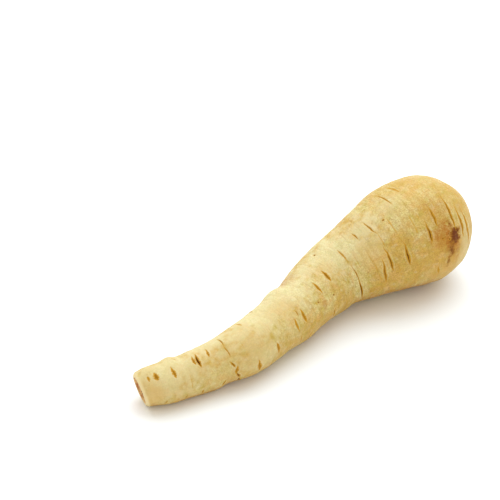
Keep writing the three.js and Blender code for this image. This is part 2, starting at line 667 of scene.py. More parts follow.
FRONT_CREASES = (
    # The thin end.
    Crease(5.8, 88, 62, Kind.LENS, 0.9, heavy=-0.2),
    Crease(9.6, 86, 53, Kind.LENS, 2.5),
    Crease(18.2, 80, 41, Kind.LENS, 1.45, heavy=0.3),
    Crease(21.8, 116, 92, Kind.LINE, 0.7, lean=2.0),
    Crease(30.4, 90, 58, Kind.LENS, 1.1),
    Crease(32.5, 94, 46, Kind.GASH, 1.35, lean=-0.6),
    Crease(39.5, 98, 66, Kind.LENS, 1.2, heavy=0.6),
    Crease(48.4, 112, 76, Kind.LINE, 1.2),
    Crease(48.2, 82, 40, Kind.LINE, 0.9),
    Crease(48.0, 34, 14, Kind.CREASE, 0.95, lean=1.5),
    Crease(49.4, 18, -4, Kind.LENS, 1.2, lean=-1.2),
    Crease(49.5, 0, -20, Kind.CREASE, 1.15, lean=1.0),
    Crease(50.3, -22, -46, Kind.GASH, 0.95),
    Crease(42.4, -12, -34, Kind.CREASE, 0.9, lean=-3.0),
    Crease(31.1, -14, -34, Kind.CREASE, 0.7),
    Crease(22.5, -12, -32, Kind.CREASE, 0.5, lean=-1.0),
    Crease(11.3, -12, -38, Kind.CREASE, 0.6, lean=-1.5),
    Crease(59.6, 12, -22, Kind.LENS, 1.5),
    Crease(62.3, 124, 98, Kind.LENS, 0.7),
    Crease(55.4, 66, 44, Kind.TRACE, 0.8),
    Crease(66.1, 38, 18, Kind.TRACE, 0.8),
    # The middle.
    Crease(71.7, 22, -9, Kind.LENS, 1.35, heavy=-0.2),
    Crease(78.0, 88, 66, Kind.TRACE, 0.8),
    Crease(86.6, 40, 6, Kind.LENS, 0.95, heavy=-0.3),
    Crease(88.2, 2, -24, Kind.LINE, 0.7),
    Crease(89.5, 56, 36, Kind.LINE, 0.9),
    Crease(92.5, 50, 17, Kind.LENS, 1.4, lean=0.6),
    Crease(94.8, -10, -30, Kind.LINE, 1.0, lean=-3.0),
    Crease(99.2, 38, 22, Kind.TRACE, 0.9),
    Crease(109.6, 70, 38, Kind.LENS, 1.2, heavy=-0.1),
    Crease(113.3, 0, -26, Kind.CREASE, 0.8, lean=-1.0),
    Crease(119.4, 74, 44, Kind.LENS, 2.2, heavy=0.1),
    Crease(123.0, 46, 22, Kind.TRACE, 1.0),
    Crease(138.5, 82, 46, Kind.LENS, 0.7, lean=1.0, heavy=-0.2),
    Crease(139.3, 49, 5, Kind.LINE, 1.1),
    Crease(138.9, 16, -37, Kind.GASH, 0.95, lean=-0.1, heavy=-0.1),
    # The crown.
    Crease(149.8, 90, 70, Kind.LINE, 1.1, lean=0.8, heavy=0.1),
    Crease(157.0, 93, 61, Kind.LINE, 1.3, lean=1.6),
    Crease(157.5, 46, 4, Kind.CREASE, 1.0, heavy=0.5),
    Crease(153.6, 30, -12, Kind.CREASE, 0.95, lean=-2.0, heavy=0.2),
    Crease(160.6, 18, -10, Kind.TRACE, 1.1),
    Crease(165.9, 39, 4, Kind.GASH, 0.95, heavy=0.4),
    Crease(170.4, 116, 80, Kind.LINE, 1.15, lean=1.8, heavy=0.1),
    Crease(177.3, 116, 92, Kind.LENS, 0.8, lean=2.0),
    Crease(178.9, 50, 22, Kind.GASH, 0.9, heavy=0.5),
    Crease(177.0, 64, 50, Kind.TRACE, 1.0),
    Crease(183.5, 64, 36, Kind.CREASE, 0.85, heavy=0.3),
    Crease(186.4, 70, 56, Kind.TRACE, 1.0),
    Crease(192.0, 68, 24, Kind.CREASE, 0.9, lean=-0.5, heavy=0.1),
    Crease(196.4, 52, 14, Kind.LENS, 1.15, heavy=0.3),
    Crease(200.4, 50, 2, Kind.LENS, 1.0, heavy=0.1),
    Crease(207.2, 40, 6, Kind.LINE, 0.8),
    # Long faint rings.
    Crease(186.2, 112, 66, Kind.TRACE, 1.0, lean=2.0),
    Crease(173.6, 84, 22, Kind.TRACE, 1.2, lean=1.5),
    Crease(165.2, 96, 34, Kind.TRACE, 1.1, lean=1.0),
    Crease(158.2, 70, 38, Kind.TRACE, 1.1),
    Crease(150.4, 60, -18, Kind.TRACE, 1.0, lean=1.0),
    Crease(143.6, 84, -22, Kind.TRACE, 0.9),
    Crease(131.0, 70, -8, Kind.TRACE, 0.9, lean=-1.0),
    Crease(124.0, 20, -30, Kind.TRACE, 1.1),
    Crease(103.0, 60, -18, Kind.TRACE, 0.9, lean=1.0),
    Crease(75.0, 50, -20, Kind.TRACE, 0.9),
    Crease(25.6, 60, -20, Kind.TRACE, 0.9, lean=1.0),
    Crease(14.6, 40, -30, Kind.TRACE, 0.9),
    Crease(181.8, -8, -22, Kind.LENS, 0.85, lean=1.0),
    Crease(169.6, -27, -36, Kind.LINE, 0.9),
)

FRONT_PATCHES = (
    # The bruise near the crown, with the weather-worn skin around it.
    Patch(190.9, 24, 2.9, 5.8, Tint.BRUISE, 0.97),
    Patch(189.6, 35, 1.4, 2.8, Tint.BRUISE, 0.6),
    Patch(188.2, 7, 2.0, 4.0, Tint.BRUISE, 0.58),
    Patch(186.6, -7, 1.3, 3.6, Tint.BRUISE, 0.55),
    Patch(189.6, 20, 4.8, 12.0, Tint.TAN, 1.0),
    Patch(184.8, 27, 8.0, 8.0, Tint.TAN, 0.7),
    Patch(187.4, 21, 3.0, 6.0, Tint.TAN, 0.85),
    Patch(186.4, 55, 7.0, 9.0, Tint.TAN, 0.30),
    Patch(107.4, 22, 2.0, 3.0, Tint.TAN, 0.5),
    # Painted warm bounce light along the neck's upper edge.
    Patch(105.0, 128, 7.0, 6.0, Tint.TAN, 0.5),
    # Painted shade and warm bounce light along the lower side, near the ground.
    Patch(170.0, -45, 34.0, 6.0, Tint.TAN, 0.55),
    Patch(120.0, -46, 22.0, 4.0, Tint.TAN, 0.5),
    Patch(48.0, -44, 44.0, 3.0, Tint.TAN, 0.5),
    # The palest skin: partly its own paler patches, partly painted highlight, as most lie along the
    # lit top.
    Patch(198.5, 8, 5.0, 15.0, Tint.PALE, 0.7),
    Patch(80.0, 92, 52.0, 15.0, Tint.PALE, 0.68),
    Patch(16.0, 62, 24.0, 17.0, Tint.PALE, 0.68),
    Patch(135.0, 84, 26.0, 17.0, Tint.PALE, 0.7),
    Patch(152.0, 60, 14.0, 13.0, Tint.PALE, 0.45),
    Patch(168.0, 86, 9.0, 9.0, Tint.PALE, 0.45),
    Patch(155.0, 80, 11.0, 11.0, Tint.PALE, 0.9),
    Patch(114.5, 98, 9.0, 8.0, Tint.PALE, 0.9),
    Patch(42.0, 106, 18.0, 8.0, Tint.PALE, 0.75),
    Patch(60.8, 10, 11.0, 9.0, Tint.PALE, 0.5),
    Patch(60.0, 50, 9.0, 8.0, Tint.PALE, 0.5),
    # The warmest skin.
    Patch(4.0, 8, 8.0, 10.0, Tint.WARM, 0.8),
    Patch(151.5, 35, 7.0, 9.0, Tint.WARM, 0.7),
    Patch(121.0, 64, 8.0, 7.0, Tint.WARM, 0.5),
    Patch(84.9, 61, 8.0, 7.0, Tint.WARM, 0.5),
    Patch(180.0, 78, 8.0, 10.0, Tint.WARM, 0.4),
    Patch(187.5, -18, 12.0, 11.0, Tint.WARM, 0.8),
)

FRONT_PITS = (
    Pit(127.2, 108),
    Pit(115.6, 23),
    Pit(163.5, 73),
    Pit(184.4, 23),
    Pit(187.5, 20),
    Pit(104.0, 34),
)

FRONT_SWELLS = (
    Swell(136.4, -8, 1.8, 34, 0.55),
    Swell(135.2, 30, 3.0, 26, 0.30),
    Swell(142.4, -6, 3.0, 34, -0.35),
    Swell(33.8, 70, 1.6, 18, 0.22),
    Swell(47.2, -10, 1.3, 26, 0.35),
    Swell(51.6, -18, 1.4, 26, 0.30),
    Swell(189.8, 30, 1.7, 20, 0.22),
    Swell(194.3, 34, 1.6, 22, 0.28),
    Swell(197.9, 30, 1.3, 20, 0.24),
    Swell(40.0, -40, 2.4, 24, 0.35),
    Swell(20.0, 122, 2.6, 20, 0.55),
    Swell(24.5, 112, 2.4, 20, -0.30),
    Swell(96.0, 124, 4.0, 22, 0.40),
)


@dataclass(frozen=True)
class FarSide:
    """Creases and patches on the back and underside, spread as thickly as in front.

    There are more creases towards the crown, where the root is thicker.

    Attributes:
        count: How many creases there are.
        patch_count: How many patches there are.
        first: Where they begin along the root.
        last: Where they end along the root.
        angles: Where the far side begins and ends around the root.
        halves: Half the angle that the shortest and the longest crease cover.
        kinds: The kinds of crease, each with its share of them.
        tints: The tints of the patches, in turn.
        bruise_sizes: Half-length of the smallest and the largest bruise.
        patch_sizes: Half-length of the smallest and the largest patch of another tint.
        breadth: How many times as wide as long a patch is.
        crowding: How evenly the creases are spread, less than 1 for more at the crown.
    """

    count: int = 70
    patch_count: int = 12
    first: float = 8.0
    last: float = 205.0
    angles: tuple[float, float] = (138.0, 305.0)
    halves: tuple[float, float] = (7.0, 19.0)
    kinds: tuple[tuple[Kind, float], ...] = (
        (Kind.LENS, 0.3),
        (Kind.CREASE, 0.25),
        (Kind.LINE, 0.2),
        (Kind.TRACE, 0.15),
        (Kind.GASH, 0.1),
    )
    tints: tuple[Tint, ...] = (Tint.WARM, Tint.PALE, Tint.TAN, Tint.BRUISE)
    bruise_sizes: tuple[float, float] = (1.2, 2.4)
    patch_sizes: tuple[float, float] = (5.0, 11.0)
    breadth: float = 1.4
    crowding: float = 0.8

    def creases(self) -> list[Crease]:
        """Scatters the creases of the far side.

        Returns:
            The creases, from the tip to the crown.
        """
        random = np.random.default_rng(Seed.FAR_CREASES)
        kinds, shares = zip(*self.kinds)
        made = []
        for step in range(self.count):
            share = ((step + random.uniform(0.1, 0.9)) / self.count) ** self.crowding
            along = self.first + share * (self.last - self.first)
            middle = random.uniform(*self.angles)
            half = random.uniform(*self.halves)
            kind = kinds[random.choice(len(kinds), p=shares)]
            made.append(Crease(along, middle + half, middle - half, kind,
                               weight=random.uniform(0.6, 1.1), lean=random.uniform(-1.5, 1.5),
                               heavy=random.uniform(-0.4, 0.6)))
        return made

    def patches(self) -> list[Patch]:
        """Scatters the patches of the far side.

        Returns:
            The patches, from the tip to the crown.
        """
        random = np.random.default_rng(Seed.FAR_PATCHES)
        made = []
        for step in range(self.patch_count):
            share = (step + random.uniform(0.2, 0.8)) / self.patch_count
            along = self.first + share * (self.last - self.first)
            angle = random.uniform(*self.angles)
            tint = self.tints[step % len(self.tints)]
            sizes = self.bruise_sizes if tint is Tint.BRUISE else self.patch_sizes
            size = random.uniform(*sizes)
            made.append(Patch(along, angle, size, size * self.breadth, tint,
                              weight=random.uniform(0.4, 0.8)))
        return made


# ---------------------------------------------------------------- the root


@dataclass
class RootBody:
    """The root's skin, made from its solid and then smoothed, creased and marked.

    Its lengths are in millimetres.

    Attributes:
        creases: All of its creases.
        patches: All of its patches of other colour.
        swells: Its small rises and dips.
        pits: Its pores.
        smooth_levels: How often the solid's faces are halved to smooth it.
        cuts: Distance from a crease, and cuts in each lengthwise edge within it, for each
            pass that makes the mesh finer.
        pit_cuts: Cuts in each edge near a pore.
        pit_reach: How far from a pore's middle edges are cut, in its radii.
        wander: How far a crease's line strays.
        wander_layers: Seed, length, reach around the root and share of how it strays, for
            the broad bends and the fine ones.
        lump_size: Length of the root's gentle lumps.
        lump_height: Height of the lumps.
        rings: Length, height and seed of its fine rings, for the broader and the finer.
        ring_turn: How far around the root a ring of a given length keeps its height.
        lip_place: How far a crease's raised lips lie from its line, in its widths.
        lip_width: Half-width of the lips, in the crease's widths.
        crown_lip: Height of the lip on the crown's side, as a share of the crease's depth.
        tip_lip: Height of the lip on the tip's side.
        aged: Where along the root its more weathered skin begins and is full.
        young: Where along the root its smoother skin begins to end and has ended.
        edge_waves: Length and height of the waves in the edges of those two.
        edge_grain: Size of the raggedness of a patch's edge.
    """

    creases: list[Crease]
    patches: list[Patch]
    swells: tuple[Swell, ...]
    pits: tuple[Pit, ...]
    smooth_levels: int = 2
    cuts: tuple[tuple[float, int], ...] = ((1.3, 2), (0.55, 1))
    pit_cuts: int = 3
    pit_reach: float = 3.5
    wander: float = 0.40
    wander_layers: tuple[tuple[Seed, float, float, float], ...] = (
        (Seed.WANDER, 40.0, 3.4, 1.0),
        (Seed.FINE_WANDER, 12.0, 1.1, 0.35),
    )
    lump_size: float = 20.0
    lump_height: float = 0.40
    rings: tuple[tuple[float, float, Seed], ...] = (
        (4.2, 0.12, Seed.RINGS),
        (1.512, 0.054, Seed.FINE_RINGS),
    )
    ring_turn: float = 26.0 / 4.2
    lip_place: float = 2.3
    lip_width: float = 1.4
    crown_lip: float = 0.46
    tip_lip: float = 0.26
    aged: tuple[float, float] = (150.0, 205.0)
    young: tuple[float, float] = (50.0, 130.0)
    edge_waves: tuple[float, float] = (14.0, 9.0)
    edge_grain: float = 2.2

    def build(self, course: Course, ends: "tuple[CrownEnd, TipEnd]") -> bpy.types.Object:
        """Builds the whole root as one piece.

        Args:
            course: The root's middle line.
            ends: The leaf scar and the cut tip, which shape and mark their own faces.

        Returns:
            The finished mesh, without its materials.
        """
        piece = self.smoothed_copy()
        for end in ends:
            end.refine(piece)
        for reach, cuts in self.cuts:
            self.refine(piece, course, reach, cuts)
        self.refine_pits(piece, course)
        mesh = piece.data
        points = vertex_rows(mesh)
        places = course.locate(points)
        skin_share = np.prod([end.skin_share(points) for end in ends], axis=0)
        relief = self.relief(places) * skin_share
        moved = points + vertex_rows(mesh, "normal") * relief[:, None] * MM
        for end in ends:
            moved = end.shape(points, moved)
        moved[:, 2] = np.maximum(moved[:, 2], 0.0)  # nothing goes below the ground
        move_points(mesh, moved)
        self.mark(mesh, places, skin_share)
        for end in ends:
            end.mark(mesh, points)
        edit(piece, lambda: bpy.ops.mesh.select_all(action="SELECT"),
             lambda: bpy.ops.mesh.normals_make_consistent(inside=False))
        bpy.ops.object.shade_smooth()
        return piece

    def smoothed_copy(self) -> bpy.types.Object:
        """Copies the solid, joins its triangles into squares and smooths it.

        Returns:
            The copy, alone selected.
        """
        piece = bpy.data.objects.new("parsnip", frame["nodes"][NODE].data.copy())
        bpy.context.scene.collection.objects.link(piece)
        piece.data.materials.clear()
        edit(piece, lambda: bpy.ops.mesh.select_all(action="SELECT"),
             lambda: bpy.ops.mesh.customdata_custom_splitnormals_clear(),
             lambda: bpy.ops.mesh.remove_doubles(threshold=0.005 * MM),
             lambda: bpy.ops.mesh.tris_convert_to_quads(face_threshold=math.radians(60),
                                                        shape_threshold=math.radians(70)))
        smooth = piece.modifiers.new("smooth", "SUBSURF")
        smooth.levels = smooth.render_levels = self.smooth_levels
        bpy.ops.object.modifier_apply(modifier=smooth.name)
        return piece

    def refine(self, piece: bpy.types.Object, course: Course, reach: float, cuts: int) -> None:
        """Cuts the lengthwise edges near the creases, so that the creases are sharp.

        Args:
            piece: The root.
            course: Its middle line.
            reach: Distance from a crease within which edges are cut, in millimetres.
            cuts: Cuts in each edge.
        """
        places = course.locate(vertex_rows(piece.data))
        wander = self.strayed(places)
        near = np.zeros(len(places.along), bool)
        for crease in self.creases:
            if crease.kind is not Kind.TRACE:
                across, taper = crease.nearness(places, wander)
                near |= (np.abs(across) < reach) & (taper > 0)
        first, second = edge_ends(piece.data)
        lengthwise = np.abs(places.along[first] - places.along[second])
        turn = turned(places.angle[first] - places.angle[second])
        around = np.abs(np.radians(turn)) * places.radius[first]
        cut_edges(piece, near[first] & near[second] & (lengthwise > around), cuts)

    def refine_pits(self, piece: bpy.types.Object, course: Course) -> None:
        """Cuts every edge near the pores, so that they are round.

        Args:
            piece: The root.
            course: Its middle line.
        """
        places = course.locate(vertex_rows(piece.data))
        near = np.any([pit.far(places) < self.pit_reach * pit.size for pit in self.pits], axis=0)
        first, second = edge_ends(piece.data)
        cut_edges(piece, near[first] & near[second], self.pit_cuts)

    def relief(self, places: Places) -> np.ndarray:
        """Adds up the skin's lumps, rings, creases, pores and swellings.

        Args:
            places: Points on the smooth root.

        Returns:
            How far the skin rises at each point, in millimetres.
        """
        straight = places.straightened()
        height = Grain(Seed.LUMPS).rough(straight / self.lump_size, octaves=2) * self.lump_height
        for size, tall, seed in self.rings:
            across = size * self.ring_turn
            height += Grain(seed).rough(straight / (size, across, across), octaves=2) * tall
        wander = self.strayed(places)
        for crease in self.creases:
            across, taper = crease.nearness(places, wander)
            width = crease.kind.value.width * (0.5 + 0.6 * taper)
            place, reach = self.lip_place * width, self.lip_width * width
            lips = self.crown_lip * bump(across - place, reach)
            lips += self.tip_lip * bump(across + place, reach)
            height += crease.kind.value.depth * crease.weight * taper * (lips - bump(across, width))
        for pit in self.pits:
            height -= pit.depth * bump(pit.far(places), pit.size)
        for swell in self.swells:
            height += swell.rise(places)
        return height

    def strayed(self, places: Places) -> np.ndarray:
        """Lets the creases' lines wander, broadly and finely.

        Args:
            places: Points on the root.

        Returns:
            How far a crease's line strays at each point, in millimetres.
        """
        straight = places.straightened()
        layers = [share * Grain(seed).at(straight / (length, across, across))
                  for seed, length, across, share in self.wander_layers]
        return self.wander * np.sum(layers, axis=0)

    def mark(self, mesh: bpy.types.Mesh, places: Places, skin_share: np.ndarray) -> None:
        """Keeps what the skin's finish reads: its places, creases, stains and patches.

        The gaps are distances from the nearest crease, 1 at the edge of its groove or stain.

        Args:
            mesh: The root's mesh.
            places: Its vertices on the root.
            skin_share: How far each vertex belongs to the skin, 0 to 1.
        """
        count = len(places.along)
        core_gap, stain_gap = np.full(count, FAR_OFF), np.full(count, FAR_OFF)
        core, stain = np.zeros(count), np.zeros(count)
        wander = self.strayed(places)
        marks = [crease.gaps(places, wander) for crease in self.creases]
        marks += [pit.gaps(places) for pit in self.pits]
        for to_core, to_stain, core_weight, stain_weight in marks:
            nearer = to_stain < stain_gap
            core_gap[nearer], stain_gap[nearer] = to_core[nearer], to_stain[nearer]
            core[nearer], stain[nearer] = core_weight[nearer], stain_weight[nearer]
        straight = places.straightened()
        store(mesh, "straight", straight * MM)
        store(mesh, "core_gap", np.minimum(core_gap, FAR_OFF))
        store(mesh, "stain_gap", stain_gap)
        store(mesh, "core", np.minimum(core, 1) * skin_share)
        store(mesh, "stain", np.minimum(stain, 1) * skin_share)
        length, sway = self.edge_waves
        growth = places.along + sway * Grain(Seed.WEATHERING).rough(straight / length, octaves=3)
        store(mesh, "aged", ramp(growth, *self.aged) * skin_share)
        store(mesh, "young", 1 - ramp(growth, *self.young))
        ragged = Grain(Seed.PATCH_EDGES).rough(straight / self.edge_grain, octaves=4)
        for tint in Tint:
            covers = [p.cover(places, ragged) for p in self.patches if p.tint is tint]
            store(mesh, tint.value, np.clip(np.max(covers, axis=0), 0, 1) * skin_share)

    def dress(self, piece: bpy.types.Object) -> None:
        """Gives each face of the root its finish: skin, leaf scar or cut tip.

        Args:
            piece: The finished mesh, marked with the ends that its vertices belong to.
        """
        grain = grain_group()
        for finish in (SkinFinish(), ScarFinish(), TipFinish()):
            piece.data.materials.append(finish.build(grain))
        sides = np.zeros(len(piece.data.vertices), int)
        for slot, name in ((1, "in_scar"), (2, "in_tip")):
            sides[vertex_values(piece.data, name) > 0.5] = slot
        slots = [int(min(sides[v] for v in p.vertices)) for p in piece.data.polygons]
        piece.data.polygons.foreach_set("material_index", slots)


@dataclass(frozen=True)
class Sheath:
    """The dry rim of one old leaf base: part of an oval ridge.

    Attributes:
        right: Middle of the oval to the right, in millimetres.
        up: Middle of the oval upward.
        wide: Half-width of the oval.
        high: Half-height of the oval.
        gap: Direction of the ridge's gap, in degrees.
        gap_half: Half the gap's angle.
        tall: Height of the ridge.
        thick: Half its thickness.
        fade: Angle over which the ridge rises at either end, in degrees.
    """

    right: float
    up: float
    wide: float
    high: float
    gap: float
    gap_half: float
    tall: float
    thick: float = 0.26
    fade: float = 25.0

    def ridge(self, places: FacePlaces, stray: np.ndarray) -> np.ndarray:
        """Draws the ridge.

        Args:
            places: Points on the scar's floor.
            stray: How far the ridge strays there.

        Returns:
            How strongly the ridge stands at each point, 0 to 1.
        """
        across, rise = (places.right - self.right) / self.wide, (places.up - self.up) / self.high
        far = (np.hypot(across, rise) - 1) * (self.wide + self.high) / 2 + stray
        open_turn = np.abs(turned(np.degrees(np.arctan2(rise, across)) - self.gap))
        standing = ramp(open_turn, self.gap_half, self.gap_half + self.fade)
        return bump(far, self.thick * (1 + 0.9 * stray)) * standing


@dataclass
class CrownEnd:
    """The sunken leaf scar in the crown, with the dry bases of the cut leaves.

    Attributes:
        radius: Radius of the scar's mouth, in millimetres.
        floor_radius: Radius of its floor.
        depth: Depth of its floor.
        fill: How high the corky fill stands on the floor.
        fill_radius: Where the fill would come down to the floor.
        cork: Height of the cork's crumbs.
        reach: How far from the mouth's plane the scar holds off the skin's relief.
        cuts: Cuts in each edge of the floor that runs outward from its middle.
        heart: Middle of the newest leaf base, to the right and upward.
        heart_size: Its radius.
        heart_width: Its width, as a share of how high it is across the scar.
        heart_height: How far it stands out.
        stray: How far the rims of the leaf bases stray.
        fibre: Height of the fibres between the leaf bases.
        fibre_sharpness: How sharp the fibres' crests are.
        curls: Seed, fineness and bend of the two layers of fibres.
        sheaths: The rims of the leaf bases.
        face: The scar's face on the solid.
    """

    radius: float = 10.5
    floor_radius: float = 9.6
    depth: float = 3.6
    fill: float = 1.0
    fill_radius: float = 11.0
    cork: float = 0.38
    reach: float = 14.0
    cuts: int = 7
    heart: tuple[float, float] = (-1.4, 0.2)
    heart_size: float = 2.1
    heart_width: float = 0.85
    heart_height: float = 0.9
    stray: float = 0.45
    fibre: float = 0.50
    fibre_sharpness: float = 5.5
    curls: tuple[tuple[Seed, float, float], ...] = (
        (Seed.FIBRES, 1.15, 1.1),
        (Seed.FINE_FIBRES, 2.1, 2.0),
    )
    sheaths: tuple[Sheath, ...] = (
        Sheath(-0.6, 1.4, 7.3, 6.7, -20, 62, 1.3, 0.30),
        Sheath(-1.3, 0.9, 5.3, 5.5, 25, 75, 1.1, 0.22),
        Sheath(-1.5, 0.2, 3.0, 3.4, -70, 25, 1.3, 0.24),
        Sheath(1.2, -9.9, 8.2, 5.4, 270, 75, 1.7, 0.36),
        Sheath(-6.6, -9.2, 5.4, 6.2, 180, 110, 1.3, 0.30),
    )
    face: EndFace = field(default_factory=lambda: EndFace.at(NODE, 1.0))

    def inside(self, points: np.ndarray) -> np.ndarray:
        """Returns whether each point is on the scar's floor or wall."""
        places = self.face.flat(points)
        return (places.far < self.radius + 0.2) & (np.abs(places.out) < self.depth - 1.0)

    def refine(self, piece: bpy.types.Object) -> None:
        """Cuts the floor's outward edges, so that the leaf bases can be shaped."""
        refine_outward(piece, self.face, self.floor_radius + 0.3, 1.2, self.cuts)

    def skin_share(self, points: np.ndarray) -> np.ndarray:
        """Returns 0 in the scar and 1 out on the skin."""
        places = self.face.flat(points)
        return np.where(np.abs(places.out) < self.reach,
                        ramp(places.far, self.radius - 0.3, self.radius + 2.5), 1.0)

    def shape(self, points: np.ndarray, moved: np.ndarray) -> np.ndarray:
        """Raises the corky fill, the fibres and the dry leaf bases from the scar's floor.

        Args:
            points: The smooth root's points.
            moved: The same points with the relief so far.

        Returns:
            The points with the scar shaped.
        """
        places = self.face.flat(points)
        floor = (places.far < self.floor_radius + 0.5) & (np.abs(places.out) < 1.4)
        edge = 1 - ramp(places.far, self.floor_radius - 1.0, self.floor_radius + 0.4)
        return self.face.pushed(moved, np.where(floor, self.height(places) * edge, 0.0))

    def height(self, places: FacePlaces) -> np.ndarray:
        """Adds up the fill, the crumbs, the heart, the leaf bases and the fibres.

        Args:
            places: Points on the scar's floor.

        Returns:
            Height of each point over the floor.
        """
        fill = self.fill * np.sqrt(np.clip(1 - (places.far / self.fill_radius) ** 2, 0, 1))
        crumbs = self.cork * places.rough(Seed.CORK, size=1.3, octaves=4)
        heart = self.heart_height * bump(self.from_heart(places), self.heart_size)
        rims = self.standing(places, [sheath.tall for sheath in self.sheaths])
        return fill + crumbs + heart + rims + self.fibre * self.fibres(places)

    def standing(self, places: FacePlaces, heights: list[float]) -> np.ndarray:
        """Draws what is left of the leaf bases' rims.

        Args:
            places: Points on the scar's floor.
            heights: Height of each rim.

        Returns:
            Height of the tallest rim at each point.
        """
        stray = self.stray * places.rough(Seed.RIM_STRAY, size=2.0, octaves=3)
        ridges = [s.ridge(places, stray) * height for s, height in zip(self.sheaths, heights)]
        worn = ramp(places.rough(Seed.RIM_WEAR, size=1.6, octaves=2), -0.75, 0.45)
        return np.max(ridges, axis=0) * worn

    def from_heart(self, places: FacePlaces) -> np.ndarray:
        """Returns how far points are from the middle of the heart, which is a little oval."""
        rise = (places.up - self.heart[1]) * self.heart_width
        return np.hypot(places.right - self.heart[0], rise)

    def fibres(self, places: FacePlaces) -> np.ndarray:
        """Draws the dry fibres that curl around the heart, thickest at its upper left.

        Args:
            places: Points on the scar's floor.

        Returns:
            How strongly a fibre stands at each point, 1 at its crest.
        """
        far = self.from_heart(places)
        turn = np.arctan2(places.up - self.heart[1], places.right - self.heart[0])
        crests = np.zeros(len(far))
        for seed, fine, bend in self.curls:
            winding = np.stack([far * fine, bend * np.cos(turn), bend * np.sin(turn)], -1)
            valleys = np.abs(Grain(seed).rough(winding, octaves=2))
            crests = np.maximum(crests, 1 - self.fibre_sharpness * valleys)
        thick_side = 0.35 + 0.65 * ramp(-places.right + 0.6 * places.up, -3.0, 5.0)
        return np.clip(crests, 0, 1) * thick_side

    def mark(self, mesh: bpy.types.Mesh, points: np.ndarray) -> None:
        """Keeps what the finishes read of the scar: its rims, its heart, a painted highlight
        around its mouth, painted shade on its wall and painted shade on one side of its mouth.

        Args:
            mesh: The root's mesh.
            points: The smooth root's points.
        """
        places = self.face.flat(points)
        far, mouth, floor = places.far, self.radius, self.floor_radius
        rims = np.maximum(self.standing(places, [1.0] * len(self.sheaths)), self.fibres(places))
        # Painted shade: a golden-brown band at the scar's mouth, on one side only.
        side_shade = band(far, (mouth - 0.7, mouth - 0.1), (mouth + 0.3, mouth + 2.3))
        kept = {
            "rims": rims * (1 - ramp(far, floor - 0.7, floor)),
            "heart": bump(self.from_heart(places), 1.6 * self.heart_size),
            # Painted highlight: a thin pale band around the scar's mouth.
            "lip": band(far, (mouth - 0.4, mouth + 0.3), (mouth + 0.5, mouth + 2.2)),
            # Painted shade on the scar's wall, between its floor and its mouth.
            "shade": band(far, (floor - 0.7, floor + 0.1), (mouth - 0.5, mouth + 0.2)),
            "painted_mouth_shade": side_shade * ramp(-places.right, 1.0, 8.0),
        }
        near = np.abs(places.out) < self.depth + 3
        for name, values in kept.items():
            store(mesh, name, values * near)
        store(mesh, "in_scar", self.inside(points).astype(float))


@dataclass
class TipEnd:
    """The trimmed tip: a small dished cut face inside a rim, with a painted pale highlight along
    it.

    Attributes:
        radius: Radius of the cut face, in millimetres.
        dish: How far its middle has shrunk in.
        lean: How far its left-hand side stands out, because the cut wasn't quite square.
        rough: Height of its crumbs.
        ring: Radius, height and half-width of the raised ring around its core.
        rim: Radius, height and half-width of the shrunken ring inside its rim.
        reach: How far in or out from its plane the face may lie.
        cuts: Cuts in each edge of the face that runs outward from its middle.
        face: The cut face on the solid.
    """

    radius: float = 7.3
    dish: float = 0.9
    lean: float = 0.8
    rough: float = 0.22
    ring: tuple[float, float, float] = (3.6, 0.28, 0.5)
    rim: tuple[float, float, float] = (6.0, -0.3, 0.7)
    reach: float = 1.6
    cuts: int = 2
    face: EndFace = field(default_factory=lambda: EndFace.at(NODE, -1.0, 4 * MM, 60.0))

    def inside(self, points: np.ndarray) -> np.ndarray:
        """Returns whether each point is on the cut face."""
        places = self.face.flat(points)
        return (places.far < self.radius) & (np.abs(places.out) < self.reach)

    def refine(self, piece: bpy.types.Object) -> None:
        """Cuts the face's outward edges, so that its fibres can be shaped."""
        refine_outward(piece, self.face, self.radius + 0.6, self.reach, self.cuts)

    def skin_share(self, points: np.ndarray) -> np.ndarray:
        """Returns 0 on the cut face and 1 out on the skin."""
        places = self.face.flat(points)
        return np.where(np.abs(places.out) < self.reach + 0.8,
                        ramp(places.far, self.radius - 1, self.radius + 2), 1.0)

    def shape(self, points: np.ndarray, moved: np.ndarray) -> np.ndarray:
        """Dishes and roughens the cut face.

        Args:
            points: The smooth root's points.
            moved: The same points with the relief so far.

        Returns:
            The points with the face shaped.
        """
        places = self.face.flat(points)
        sunk = self.rough * places.rough(Seed.TIP_CRUMBS, size=1.3, octaves=3) - self.dish
        for radius, height, width in (self.ring, self.rim):
            sunk += height * bump(places.far - radius, width)
        sunk *= 1 - ramp(places.far, self.radius - 1.4, self.radius + 0.5)
        lift = np.where(np.abs(places.out) < self.reach + 0.4, sunk, 0.0)
        lift += self.lean * places.right / self.radius * (1 - ramp(-places.out, 0.0, 10.0))
        return self.face.pushed(moved, lift)

    def mark(self, mesh: bpy.types.Mesh, points: np.ndarray) -> None:
        """Keeps what the finishes read of the tip: its rim's painted highlight, its ring and its
        face.

        Args:
            mesh: The root's mesh.
            points: The smooth root's points.
        """
        places = self.face.flat(points)
        near = np.abs(places.out) < 2 * self.reach
        # Painted highlight: a pale band along the cut face's rim, fading away from the face.
        rim = ramp(places.far, self.radius - 1.0, self.radius) * (1 - ramp(-places.out, 0.3, 2.2))
        store(mesh, "rim", rim * near)
        store(mesh, "ring", bump(places.far - self.ring[0], 0.8) * near)
        store(mesh, "in_tip", self.inside(points).astype(float))


